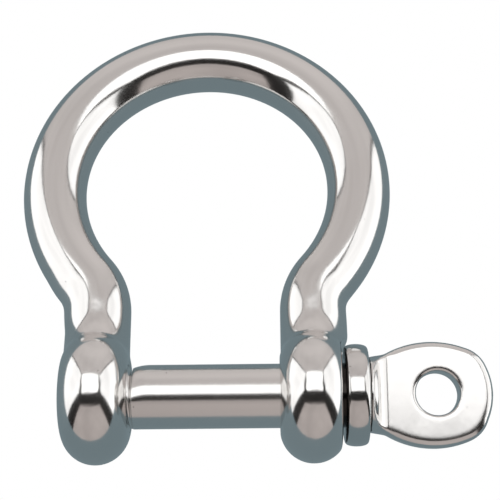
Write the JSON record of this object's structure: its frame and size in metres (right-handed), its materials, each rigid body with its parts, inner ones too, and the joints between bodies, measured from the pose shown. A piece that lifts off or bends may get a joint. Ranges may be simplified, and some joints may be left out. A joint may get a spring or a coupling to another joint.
{
  "type": "bow shackle",
  "caption": "Polished stainless bow shackle: round bar bent to a wide bow, with a plain and a threaded ear and a collared screw pin with a flat eye tab.",
  "frame": {"origin": "on the screw pin's axis, midway between the bow's two ears", "axes": "the shackle lies on its back: +X along the pin towards its eye tab, +Y from the pin to the crown of the bow, +Z square to the plane of the bow"},
  "size_m": [0.0606, 0.0623, 0.0168],
  "materials": {
    "polished_stainless": null
  },
  "bodies": {
    "bow": {"bow": "polished_stainless"},
    "collar": {"pin_collar": "polished_stainless"},
    "pin": {"screw_pin": "polished_stainless"}
  },
  "joints": [
    {"name": "pin_travel", "type": "slide", "parent": "bow", "child": "collar", "axis": [1, 0, 0], "range_m": [-0.00035, 0.03751]},
    {"name": "pin_turn", "type": "hinge", "parent": "collar", "child": "pin", "pos_m": [0, 0, 0], "axis": [1, 0, 0], "range_deg": [-100, 10800]}
  ],
  "couplings": [
    {"joint": "pin_travel", "follows": "pin_turn", "m_per_rad": 0.00019894}
  ]
}
